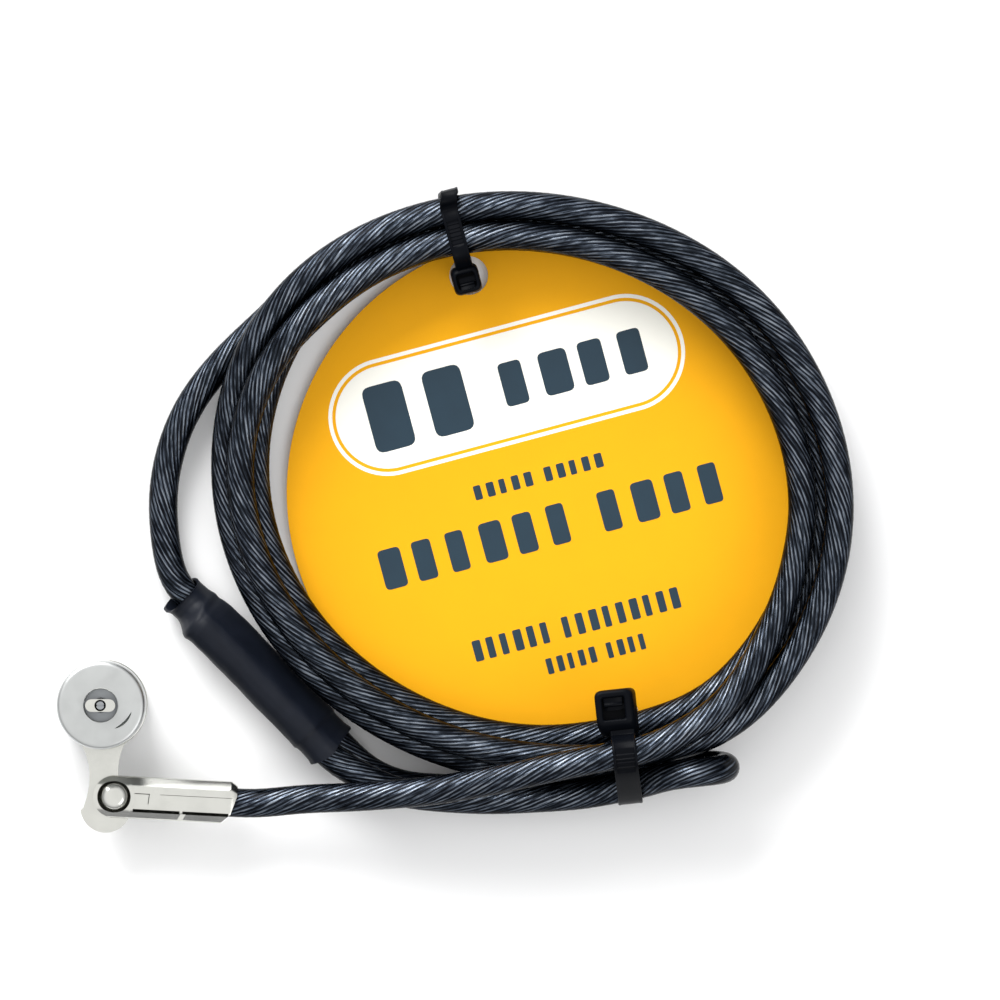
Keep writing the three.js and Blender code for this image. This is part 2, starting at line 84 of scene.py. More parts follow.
LEG_BACK_ROUTE = [
    (0.1113, -0.0074, 0.0135), (0.1065, -0.0082, 0.0114), (0.0990, -0.0097, 0.0107),
    (0.0900, -0.0107, 0.0105), (0.0808, -0.0112, 0.0104), (0.0700, -0.0107, 0.0101),
    (0.0605, -0.0094, 0.0098), (0.0528, -0.0056, 0.0095),
]
BIGHT = {"x": 0.1218, "y": -0.0044, "z": 0.0124, "r": 0.0076, "lean": 0.1}  # the loop's end

# Places of the strands across the coil, as (outward, up) from the middle of its lowest row.
# The right and top of the coil hold five strands, the left and bottom four.
TOP_IN, TOP, TOP_OUT = (-0.0038, 0.0104), (0.0, 0.0104), (0.0038, 0.0104)
MID_OUT, MIDDLE, MID_IN = (0.00305, 0.0052), (0.0, 0.0052), (-0.00305, 0.0052)
LOW_IN, LOW, LOW_OUT = (-0.0031, 0.0), (0.0, 0.0), (0.0031, 0.0)
WINDING = [TOP_IN, TOP, TOP_OUT, MID_OUT, MIDDLE, MID_IN, LOW_IN, LOW, LOW_OUT]
SHIFTS = [(108, 182), (255, 330)]  # in each turn, where a strand moves on to its next place
BULGES = [(45, 22, 0.0005), (306, 16, 0.00125)]  # where the coil bulges: angle, spread, how far
LOW_ROW_Z = 0.00505
WOUND = 4 * 360 + 128  # degrees of winding
# Where the cable joins the coil and leaves it: angle, outward, and up from the lowest row or the floor.
COIL_IN = [(-52.6, -0.0003, 0.0158), (-43, -0.0016, 0.0136), (-33, -0.0029, 0.0120), (-20, -0.0037, 0.0107)]
COIL_OUT = [(6, 0.0027, 0.0052), (16, 0.0034, 0.0052), (24, 0.0058, 0.0052), (32, 0.0090, 0.0052)]

STRANDS = 21  # strand lines round the cable
LAY = 0.050  # length of one left-hand turn of the strands
BARE_R = 0.0023  # cable pressed in the loop's ferrule


# ---- Cable centreline ------------------------------------
def smooth(t):
    t = min(1.0, max(0.0, t))
    return t * t * (3 - 2 * t)


def coil_point(angle, outward, height):
    """A point by the coil at an angle in degrees, outward from its mid line."""
    turn = math.radians(angle) - COIL_TURN
    normal = Vector((math.cos(turn) / COIL["a"], math.sin(turn) / COIL["b"])).normalized()
    for middle, spread, far in BULGES:
        outward += far * math.exp(-(((angle - middle + 180) % 360 - 180) / spread) ** 2)
    spot = Vector((COIL["a"] * math.cos(turn), COIL["b"] * math.sin(turn))) + normal * outward
    c, s = math.cos(COIL_TURN), math.sin(COIL_TURN)
    return Vector((COIL["x"] + spot.x * c - spot.y * s, COIL["y"] + spot.x * s + spot.y * c, height))


def low_row_z(angle):
    """Middle height of the lowest row: on the card, and down on the floor left of the card."""
    dip = math.sin(math.pi * min(1.0, max(0.0, (angle % 360 - 125) / 115))) ** 2
    return LOW_ROW_Z - 0.0017 * dip


def wound_place(angle):
    """(outward, up) of the cable in the coil after so many degrees of winding."""
    turns, rest = divmod(angle, 360)
    stage, bulge = 2 * turns, 0.0
    for first, last in SHIFTS:
        share = (rest - first) / (last - first)
        stage += smooth(share)
        if 0 < share < 1:
            bulge = 0.154 * math.sin(math.pi * share) ** 2
    stage = min(max(stage, 0.0), len(WINDING) - 1.001)
    here, after = WINDING[int(stage)], WINDING[int(stage) + 1]
    part = stage - int(stage)
    outward, up = ((1 + bulge) * (p + (q - p) * part) for p, q in zip(here, after))
    if up > 0.009:  # the top row is pulled together by the upper tie
        outward *= 1 - 0.20 * math.exp(-(((rest - 98) / 45) ** 2))
    return outward, up


def sleeve_frame():
    along = SLEEVE["to"] - SLEEVE["from"]
    return along.normalized(), Vector((-along.y, along.x, 0)).normalized(), along.length


def sleeve_point(distance, side, up):
    along, across, _ = sleeve_frame()
    return SLEEVE["from"] + along * distance + across * side + Vector((0, 0, up))


def ferrule_point(distance, side=0.0, up=0.0):
    along = Vector((math.cos(FERRULE_TILT), math.sin(FERRULE_TILT), 0))
    across = Vector((-along.y, along.x, 0))
    return PIN + along * distance + across * side + Vector((0, 0, up))


def cable_points():
    """The cable's listed points and its wound turns, from the ferrule to the end in the sleeve."""
    points = [ferrule_point(d) for d in (FERRULE_LENGTH - SOCKET_DEPTH + GAP, 0.0254, 0.0294)]
    points += [Vector(p) for p in LEAD_ROUTE]
    for angle, outward, up in COIL_IN:
        points.append(coil_point(angle, outward, LOW_ROW_Z + up))
    for angle in range(-5, WOUND, 5):
        outward, up = wound_place(angle)
        points.append(coil_point(angle, outward, low_row_z(angle) + up))
    points += [coil_point(WOUND + angle, outward, up) for angle, outward, up in COIL_OUT]
    points += [Vector(p) for p in RUN_OUT_ROUTE]
    _, _, length = sleeve_frame()
    side, up = STRAND_SIDE, STRAND_UP
    for distance, share in [(-0.0025, 0.1), (0.0, 0.0), (0.004, 0.4), (0.009, 0.9), (0.014, 1)]:
        points.append(sleeve_point(distance, share * side, -up))
    points += [sleeve_point(d, side, -up) for d in (length / 2, length - 0.008, length, length + 0.003)]
    points += [Vector(p) for p in LEG_OUT_ROUTE]
    for angle in range(-90, 136, 45):
        turn = math.radians(angle)
        points.append(Vector((
            BIGHT["x"] + BIGHT["r"] * math.cos(turn),
            BIGHT["y"] - BIGHT["lean"] * BIGHT["r"] * math.sin(turn),
            BIGHT["z"] + BIGHT["r"] * math.sin(turn),
        )))
    points += [Vector(p) for p in LEG_BACK_ROUTE]
    points += [sleeve_point(d, -side, up) for d in (length + 0.003, length, length - 0.006, 0.022, 0.0075)]
    return np.array([tuple(p) for p in points])


def distances(path):
    """How far along the path each of its points lies."""
    return np.concatenate([[0], np.cumsum(np.linalg.norm(np.diff(path, axis=0), axis=1))])


def spline(points, step):
    """A centripetal Catmull-Rom curve through the points, resampled at an even step."""
    first, last = 2 * points[0] - points[1], 2 * points[-1] - points[-2]
    p = np.vstack([first, points, last])
    dense = []
    for i in range(1, len(p) - 2):
        p0, p1, p2, p3 = p[i - 1 : i + 3]
        k1 = np.linalg.norm(p1 - p0) ** 0.5
        k2 = k1 + np.linalg.norm(p2 - p1) ** 0.5
        k3 = k2 + np.linalg.norm(p3 - p2) ** 0.5
        t = np.linspace(k1, k2, 24, endpoint=False)[:, None]
        a1 = (k1 - t) / k1 * p0 + t / k1 * p1
        a2 = (k2 - t) / (k2 - k1) * p1 + (t - k1) / (k2 - k1) * p2
        a3 = (k3 - t) / (k3 - k2) * p2 + (t - k2) / (k3 - k2) * p3
        b1 = (k2 - t) / k2 * a1 + t / k2 * a2
        b2 = (k3 - t) / (k3 - k1) * a2 + (t - k1) / (k3 - k1) * a3
        dense.append((k2 - t) / (k2 - k1) * b1 + (t - k1) / (k2 - k1) * b2)
    dense = np.vstack([*dense, p[-2:-1]])
    lengths = distances(dense)
    count = int(round(lengths[-1] / step)) + 1
    even = np.linspace(0, lengths[-1], count)
    return np.stack([np.interp(even, lengths, dense[:, k]) for k in range(3)], axis=1)


def averaged(values, reach):
    """Gaussian average along the first axis, with the ends kept."""
    kernel = np.exp(-0.5 * (np.arange(-3 * reach, 3 * reach + 1) / reach) ** 2)
    kernel /= kernel.sum()
    padded = np.pad(values, ((3 * reach, 3 * reach), (0, 0)), mode="reflect", reflect_type="odd")
    return np.stack([np.convolve(padded[:, k], kernel, mode="valid") for k in range(3)], axis=1)


def settled(path):
    """The path with its strands pushed apart wherever they lie closer than a cable's width."""
    width = 2 * CABLE_R + 0.00004
    along = np.arange(len(path))
    neighbours, passes, eased = 12, 45, 0.8
    apart = np.abs(along[:, None] - along[None]) > neighbours
    _, _, length = sleeve_frame()
    start, end = np.array(SLEEVE["from"]), np.array(SLEEVE["to"])
    to_start, to_end = np.linalg.norm(path - start, axis=1), np.linalg.norm(path - end, axis=1)
    free = np.clip((np.minimum(to_start, to_end) - 0.003) / 0.01, 0, 1)
    free[np.abs(to_start + to_end - length) < 0.0016] = 0  # in the sleeve
    free[:16] = 0  # in the ferrule
    on_card = np.hypot(path[:, 0] - CARD["x"], path[:, 1] - CARD["y"]) < CARD["r"]
    floor = np.where(on_card, CARD["top"], 0)
    for _ in range(passes):
        offset = path[:, None] - path[None]
        distance = np.sqrt((offset**2).sum(axis=2)) + 1e-9
        near = apart & (distance < width)
        push = np.where(near, (width - distance) / distance, 0)[:, :, None] * offset
        move = push.sum(axis=1) / np.maximum(near.sum(axis=1), 1)[:, None]
        path = path + eased * averaged(move, 3) * free[:, None]
        path[:, 2] = np.maximum(path[:, 2], floor + CABLE_R + 0.00003)
    return path


CABLE_PATH = settled(averaged(spline(cable_points(), 0.0015), 2))


# ---- Meshes ----------------------------------------------
def shown(name, data):
    """A new object in the scene, of a mesh, a light or a camera."""
    thing = bpy.data.objects.new(name, data)
    bpy.context.scene.collection.objects.link(thing)
    return thing


def outward_mesh(name, points, faces):
    """A mesh with its faces turned outwards."""
    mesh = bpy.data.meshes.new(name)
    mesh.from_pydata([tuple(p) for p in points], [], faces)
    made = bmesh.new()
    made.from_mesh(mesh)
    bmesh.ops.recalc_face_normals(made, faces=made.faces)
    made.to_mesh(mesh)
    made.free()
    return mesh


def add_piece(name, points, faces, material, body, replaced=(), slot=None, sharp=40):
    """A mesh object that rides on a body."""
    mesh = outward_mesh(name, points, faces)
    mesh.shade_smooth()
    mesh.set_sharp_from_angle(angle=math.radians(sharp))
    mesh.materials.append(material)
    piece = shown(name, mesh)
    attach(piece, body)
    if replaced:
        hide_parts(*replaced)
    return piece


def loft(rings, closed=False):
    """Points and faces of a skin over rings with equal counts, with flat ends unless it is closed."""
    count, around = len(rings), len(rings[0])
    faces = []
    for i in range(count if closed else count - 1):
        here, after = i * around, (i + 1) % count * around
        for j in range(around):
            k = (j + 1) % around
            faces.append((here + j, here + k, after + k, after + j))
    if not closed:
        faces.append(tuple(range(around)))
        faces.append(tuple((count - 1) * around + j for j in range(around)))
    return [p for ring in rings for p in ring], faces


def rounded(outline, radius, steps=4):
    """A closed outline with each corner rounded. A corner may carry a radius of its own."""
    points = []
    for i, corner in enumerate(outline):
        here = Vector(corner[:2])
        before = Vector(outline[i - 1][:2]) - here
        after = Vector(outline[(i + 1) % len(outline)][:2]) - here
        reach = corner[2] if len(corner) > 2 else radius
        reach = min(reach, 0.48 * before.length, 0.48 * after.length)
        if reach < 1e-6:
            points.append(here)
            continue
        first, last = here + before.normalized() * reach, here + after.normalized() * reach
        for k in range(steps + 1):
            t = k / steps
            points.append(first * (1 - t) ** 2 + here * 2 * t * (1 - t) + last * t**2)
    return points


def circle(count):
    """(cosine, sine) of even steps round a full turn."""
    turns = [2 * math.pi * k / count for k in range(count)]
    return [(math.cos(turn), math.sin(turn)) for turn in turns]


def turned(profile, segments=96):
    """A closed (radius, z) outline turned about the lock head's axis."""
    rings = [[BARREL + Vector((r * c, r * s, z)) for r, z in profile] for c, s in circle(segments)]
    return loft(rings, closed=True)


def plate(outline, bottom, top):
    """A flat plate from a closed outline of (x, y)."""
    return loft([[Vector((x, y, z)) for x, y in outline] for z in (bottom, top)])


def directions(path):
    tangents = np.gradient(path, axis=0)
    return tangents / np.linalg.norm(tangents, axis=1)[:, None]


def frames_along(path):
    """Side and up vectors along a path, with no twist of their own."""
    tangents = directions(path)
    side = np.cross(tangents[0], (0, 0, 1.0))
    sides = []
    for tangent in tangents:
        side = side - tangent * side.dot(tangent)
        side /= np.linalg.norm(side)
        sides.append(side)
    sides = np.array(sides)
    return sides, np.cross(sides, tangents)


# ---- Materials -------------------------------------------
class Nodes:
    """Nodes added to the tree of a material or a world."""

    def __init__(self, tree):
        self.tree = tree

    def node(self, kind, inputs=None, **settings):
        made = self.tree.nodes.new("ShaderNode" + kind)
        for key, value in settings.items():
            setattr(made, key, value)
        for key, value in (inputs or {}).items():
            if isinstance(value, bpy.types.NodeSocket):
                self.tree.links.new(value, made.inputs[key])
            else:
                made.inputs[key].default_value = value
        return made

    def math(self, operation, a, b=0.0):
        return self.node("Math", {0: a, 1: b}, operation=operation).outputs[0]

    def spread(self, value, low, high):
        """value, from 0 to 1, carried to between low and high."""
        return self.node("MapRange", {"Value": value, "To Min": low, "To Max": high}).outputs[0]

    def ramp(self, value, stops):
        made = self.node("ValToRGB", {"Fac": value})
        elements = made.color_ramp.elements
        while len(elements) < len(stops):
            elements.new(0.5)
        for element, (place, colour) in zip(elements, stops):
            element.position = place
            element.color = (*colour, 1)
        return made.outputs["Color"]


class Shader(Nodes):
    """A Principled material with its nodes."""

    def __init__(self, name, colour, roughness, **settings):
        self.material = bpy.data.materials.new(name)
        self.material.use_nodes = True
        super().__init__(self.material.node_tree)
        self.surface = self.tree.nodes["Principled BSDF"]
        self.surface.inputs["Base Color"].default_value = (*colour, 1)
        self.surface.inputs["Roughness"].default_value = roughness
        for socket, value in settings.items():
            self.surface.inputs[socket.replace("_", " ")].default_value = value

    def place(self, stretch=(1, 1, 1)):
        """Place on the object in metres, with its axes stretched."""
        source = self.node("TexCoord").outputs["Object"]
        return self.node("Mapping", {"Vector": source, "Scale": stretch}).outputs[0]

    def noise(self, where, scale, detail=3.0, roughness=0.55):
        inputs = {"Vector": where, "Scale": scale, "Detail": detail, "Roughness": roughness}
        return self.node("TexNoise", inputs).outputs["Fac"]

    def set(self, socket, value):
        self.tree.links.new(value, self.surface.inputs[socket])

    def bump(self, height, distance, strength=1.0):
        inputs = {"Height": height, "Distance": distance, "Strength": strength}
        self.set("Normal", self.node("Bump", inputs).outputs[0])


def linear(code):
    """A colour written as a hex code, in linear light."""
    parts = [int(code[i : i + 2], 16) / 255 for i in (0, 2, 4)]
    return tuple(p / 12.92 if p <= 0.04045 else ((p + 0.055) / 1.055) ** 2.4 for p in parts)


def metal(name, code, roughness, wear=0.08, grain=(1, 1, 1), grain_scale=2500, depth=0.000004):
    """Bare metal with a fine grain and patches that are duller where it was handled."""
    made = Shader(name, linear(code), roughness, Metallic=1.0)
    patches = made.noise(made.place(), 220, 4)
    fine = made.noise(made.place(grain), grain_scale, 2)
    made.set("Roughness", made.spread(patches, roughness - wear / 2, roughness + wear))
    shade = [tuple(c * k for c in linear(code)) for k in (0.93, 1.0)]
    made.set("Base Color", made.ramp(patches, [(0.3, shade[0]), (0.6, shade[1])]))
    made.bump(fine, depth, 0.6)
    return made.material


def plastic(name, code, roughness, depth=0.00001, scale=1800, mottle=0.1, gloss=0.5):
    """Moulded plastic or rubber with a fine skin, its shade mottled a little."""
    made = Shader(name, linear(code), roughness, Specular_IOR_Level=gloss)
    skin = made.noise(made.place(), scale, 3)
    patches = made.noise(made.place(), 160, 3)
    dark, light = (tuple(min(1, c * k) for c in linear(code)) for k in (1 - mottle, 1 + mottle))
    made.set("Base Color", made.ramp(patches, [(0.3, dark), (0.7, light)]))
    made.set("Roughness", made.spread(patches, roughness - 0.06, roughness + 0.1))
    made.bump(skin, depth, 0.5)
    return made.material


def cable_material():
    """Stranded steel seen through a smoke-black coat. The mesh's UV is (turn round, metres along)."""
    made = Shader(
        "cable_coat", linear("39414e"), 0.3, Metallic=0.88, IOR=1.2, Specular_IOR_Level=0.2,
        Specular_Tint=(0.18, 0.19, 0.22, 1), Coat_Weight=1.0, Coat_Roughness=0.10, Coat_IOR=1.11,
        Coat_Tint=(0.235, 0.255, 0.285, 1),
    )
    uv = made.node("SeparateXYZ", {0: made.node("TexCoord").outputs["UV"]})
    turn = made.math("MULTIPLY", uv.outputs[0], 2 * math.pi)
    along = uv.outputs[1]
    east, north = made.math("COSINE", turn), made.math("SINE", turn)

    def streaks(across, lengthwise, detail):
        scales = ((east, across), (north, across), (along, lengthwise))
        inputs = {axis: made.math("MULTIPLY", *pair) for axis, pair in enumerate(scales)}
        return made.noise(made.node("CombineXYZ", inputs).outputs[0], 1.0, detail)

    def widened(value, low, high):
        inputs = {"Value": value, "From Min": low, "From Max": high}
        return made.node("MapRange", inputs).outputs[0]

    wander = made.spread(streaks(1.6, 70, 2), -0.9, 0.9)
    phase = made.math("ADD", made.math("MULTIPLY", turn, STRANDS / 2), wander)
    grooves = made.math("ABSOLUTE", made.math("SINE", phase))
    wires = made.math("ABSOLUTE", made.math("SINE", made.math("MULTIPLY", turn, 3 * STRANDS / 2)))
    coarse = widened(streaks(2.2, 150, 3), 0.34, 0.66)
    fine = widened(streaks(9.0, 330, 2), 0.32, 0.68)
    sharp = made.math("POWER", grooves, 2.1)
    crest = made.math("MULTIPLY", made.spread(sharp, 0.06, 1.0), made.spread(wires, 0.5, 1.0))
    broken = made.math("MULTIPLY", crest, made.spread(fine, 0.2, 1.2))
    tone = made.math("MULTIPLY", broken, made.spread(coarse, 0.3, 1.3))
    stops = [
        (0.0, (0.006, 0.008, 0.011)), (0.22, (0.10, 0.115, 0.14)), (0.45, (0.45, 0.50, 0.57)),
        (0.75, (0.96, 0.98, 1.0)),
    ]
    made.set("Base Color", made.ramp(tone, stops))
    made.set("Roughness", made.spread(fine, 0.22, 0.36))
    height = made.math("ADD", made.math("MULTIPLY", grooves, 0.7), made.math("MULTIPLY", fine, 0.3))
    made.bump(height, 0.00025, 0.8)
    return made.material


CABLE_COAT = cable_material()
SATIN = metal("satin_metal", "bfc1c0", 0.34, grain=(1, 1, 0.15))
POLISHED = metal("polished_metal", "d2d2cc", 0.21, 0.05, depth=0.000002)
STEEL = metal("steel", "9a9da0", 0.34)
BRASS = metal("brass", "b8963f", 0.34)
SPRING_STEEL = metal("spring_steel", "8d9094", 0.3)
SHRINK_TUBE = plastic("shrink_tube", "0f131c", 0.45, 0.00002, 900, 0.15, 0.16)
NYLON = plastic("nylon", "07090e", 0.36, 0.00001, 1800, 0.15, 0.05)
RUBBER = plastic("rubber", "26282b", 0.8, 0.00003)


# ---- Cable -----------------------------------------------
def build_cable():
    around = 3 * STRANDS
    sides, ups = frames_along(CABLE_PATH)
    distance = distances(CABLE_PATH)
    direction, _, length = sleeve_frame()
    offset = CABLE_PATH - np.array(SLEEVE["from"])
    along = offset @ np.array(direction)
    away = np.linalg.norm(offset - along[:, None] * np.array(direction), axis=1)
    pressed = (away < 0.005) & (along > 0.0085) & (along < length - 0.008)
    pressed[-12:] = True
    radius = CABLE_R - (CABLE_R - BARE_R) * averaged(np.repeat(pressed[:, None], 3, 1) * 1.0, 1)[:, 0]
    turn = 2 * math.pi * np.arange(around) / around
    ridge = 1 - 0.012 * (1 - np.cos(STRANDS * turn)) / 2
    angle = turn[None] + 2 * math.pi * distance[:, None] / LAY
    reach = radius[:, None] * ridge[None]
    points = (
        CABLE_PATH[:, None]
        + (reach * np.cos(angle))[:, :, None] * sides[:, None]
        + (reach * np.sin(angle))[:, :, None] * ups[:, None]
    ).reshape(-1, 3)
    count = len(CABLE_PATH)
    row, column = np.meshgrid(np.arange(count - 1), np.arange(around), indexing="ij")
    corner = [(0, 0), (0, 1), (1, 1), (1, 0)]
    faces = np.stack([(row + i) * around + (column + j) % around for i, j in corner], axis=2).reshape(-1, 4)
    ends = [tuple(range(around)), tuple((count - 1) * around + j for j in reversed(range(around)))]
    piece = add_piece(
        "cable", points, [*map(tuple, faces.tolist()), *ends], CABLE_COAT, "cable",
        ("cable_lead", "cable_coil", "cable_run_out", "cable_loop"), "cable_coat", 60,
    )
    layer = piece.data.uv_layers.new(name="lay")
    for polygon in piece.data.polygons:
        if polygon.loop_total != 4:
            continue
        spots = [divmod(v, around) for v in polygon.vertices]
        wraps = {j for _, j in spots} == {0, around - 1}
        for loop_index, (i, j) in zip(polygon.loop_indices, spots):
            j = around if wraps and j == 0 else j
            layer.data[loop_index].uv = (j / around, distance[i])
    return piece


CABLE = build_cable()


# ---- Solids put together from simple ones ----------------
def box_solid(x0, x1, y0, y1, z0, z1):
    return plate([(x0, y0), (x1, y0), (x1, y1), (x0, y1)], z0, z1)


def disc_solid(x, y, r, z0, z1, count=64):
    return plate([(x + r * c, y + r * s) for c, s in circle(count)], z0, z1)


def v_groove(start, end, half, deep, surface):
    """A straight groove with a V section, to cut from a flat top. start and end are (x, y)."""
    start, end = Vector((*start, surface)), Vector((*end, surface))
    along = (end - start).normalized()
    over = 0.0003
    side = Vector((-along.y, along.x, 0)) * half * (1 + over / deep)
    rise, fall = Vector((0, 0, over)), Vector((0, 0, -deep))
    return loft([[p - side + rise, p + fall, p + side + rise] for p in (start, end)])


def disc_ring(inner, outer, z0, z1, first, last, count=40):
    """Part of a flat ring about the origin, between two angles."""
    turns = [first + (last - first) * k / count for k in range(count + 1)]
    outline = [(outer * math.cos(t), outer * math.sin(t)) for t in turns]
    outline += [(inner * math.cos(t), inner * math.sin(t)) for t in reversed(turns)]
    return plate(outline, z0, z1)


def loose(points, faces):
    """A mesh object to combine with others, not yet a piece."""
    return shown("loose", outward_mesh("loose", points, faces))


def combined(base, joined=(), cut=(), place=None):
    """Points and faces of a base solid with others joined to it and cut from it."""
    body = loose(*base)
    others = [(loose(*solid), "UNION") for solid in joined] + [(loose(*solid), "DIFFERENCE") for solid in cut]
    for other, operation in others:
        step = body.modifiers.new("combine", "BOOLEAN")
        step.object, step.operation, step.solver = other, operation, "EXACT"
    bpy.context.view_layer.update()
    result = body.evaluated_get(bpy.context.evaluated_depsgraph_get()).data
    points = [place(v.co) if place else v.co.copy() for v in result.vertices]
    faces = [tuple(p.vertices) for p in result.polygons]
    for thing in [body] + [other for other, _ in others]:
        mesh = thing.data
        bpy.data.objects.remove(thing)
        bpy.data.meshes.remove(mesh)
    return points, faces


def soften(piece, width, segments=2, angle=30):
    """Rounds a piece's edges a little, as tumbling or moulding does."""
    edge = piece.modifiers.new("edges", "BEVEL")
    edge.width, edge.segments = width, segments
    edge.limit_method, edge.angle_limit = "ANGLE", math.radians(angle)
    edge.harden_normals = True
    return piece


def keep_cad(name, material, width=0.0):
    """Gives a CAD node its material and softens its edges."""
    node = nodes[name]
    node.data.shade_smooth()
    node.data.set_sharp_from_angle(angle=math.radians(30))
    for place in node.material_slots:
        place.material = material
    if width:
        soften(node, width)


# ---- Lock head -------------------------------------------
def mm(outline):
    """An outline typed in millimetres, in metres."""
    return [tuple(0.001 * value for value in corner) for corner in outline]


def build_head():
    rear = mm([
        (5.3, 0, 0.15), (8.3, 0, 0.4), (9.1, 0.8, 0.4), (9.1, 7.7, 0.25), (6.8, 7.7, 0.1), (6.8, 2.1, 0.1),
        (5.3, 2.1, 0.1),
    ])
    add_piece("rear_cap_shell", *turned(rounded(rear, 0)), SATIN, "housing", ["rear_cap"], "satin_metal")
    front = mm([
        (5.2, 2.4), (6.5, 2.4, 0.15), (6.5, 12.3, 0.1), (9.1, 12.3, 0.3), (9.1, 13.5, 0.05),
        (8.9, 13.7, 0.05), (9.1, 13.9, 0.05), (9.1, 22.4, 0.05), (8.9, 22.6, 0.05), (9.1, 22.8, 0.05),
        (9.1, 24, 0.25), (6.8, 24, 0.1), (6.8, 17.8), (3.4, 17.8), (3.4, 16.2), (5.2, 16.2),
    ])
    add_piece("front_shell", *turned(rounded(front, 0)), SATIN, "housing", ["front_housing"], "satin_metal")
    nose = mm([(3.45, 25.3, 0.1), (9.1, 25.3, 0.15), (9.1, 27.5, 1.1), (3.45, 27.5, 0.2)])
    face = 0.0275
    mark = []  # a curved cut that tapers to a point, showing which way the lock turns
    for k in range(19):
        share = k / 18
        turn = math.radians(-58 + 46 * share)
        middle, half = 0.0056 + 0.0009 * share, 0.00004 + 0.00022 * math.sin(math.pi * share) ** 0.7
        way = Vector((math.cos(turn), math.sin(turn), 0))
        edge, above = 1.4 * half, face + 0.0002
        section = [(middle - edge, above), (middle, face - 2.5 * half), (middle + edge, above)]
        mark.append([BARREL + way * r + Vector((0, 0, z)) for r, z in section])
    solid = combined(turned(rounded(nose, 0, 5)), cut=[loft(mark)])
    add_piece("nose_face_plate", *solid, SATIN, "housing", ["nose_plate"], "satin_metal", 30)
    keep_cad("nose_insert", STEEL, 0.00012)
    keep_cad("nose_gasket", RUBBER, 0.0001)
    keep_cad("core_plug", BRASS)
    keep_cad("core_clip", SPRING_STEEL)
    for i in range(1, 6):
        keep_cad(f"wafer_{i}", BRASS)
        keep_cad(f"wafer_spring_{i}", SPRING_STEEL)
    keep_cad("spindle", STEEL)
    keep_cad("t_bar", POLISHED, 0.00018)
    keep_cad("tip_screw", STEEL, 0.00006)


def bend(start, middle, end, steps=12):
    """Points of a quadratic curve from start to end, pulled towards middle."""
    shares = [k / steps for k in range(steps + 1)]
    return [
        tuple(a * (1 - t) ** 2 + 2 * b * t * (1 - t) + c * t * t for a, b, c in zip(start, middle, end))
        for t in shares
    ]


def build_collar():
    """The swivel ring round the neck with the lug that the ferrule is pinned to."""
    band = mm([
        (6.8, 8.0, 0.15), (9.3, 8.0, 0.35), (9.3, 9.55, 0.05), (9.15, 9.7, 0.05), (9.15, 10.3, 0.05),
        (9.3, 10.45, 0.05), (9.3, 12.0, 0.35), (6.8, 12.0, 0.15),
    ])
    end = {"x": 0.0006, "y": -0.01275, "r": 0.0052}
    outline = bend((-0.0065, 0.00315), (-0.0005, -0.0034), (end["x"] - 0.0046, end["y"]))
    for k in range(1, 32):
        turn = math.pi + math.pi * k / 32
        outline.append((end["x"] + end["r"] * math.cos(turn), end["y"] + end["r"] * math.sin(turn)))
    outline += bend((end["x"] + 0.0046, end["y"]), (0.0006, -0.0034), (0.0065, 0.00315))
    thick = 0.0013
    lug = plate(outline, COLLAR_Z - thick, COLLAR_Z + thick)
    bore = disc_solid(BARREL.x, BARREL.y, 0.0068, 0.0085, 0.0115, 96)
    pin_hole = disc_solid(PIN.x, PIN.y, 0.0018, 0.0080, 0.0120)
    solid = combined(turned(rounded(band, 0)), joined=[lug], cut=[bore, pin_hole])
    ring = add_piece("collar_ring", *solid, POLISHED, "collar", ["swivel_collar"], "polished_metal", 35)
    soften(ring, 0.00015)


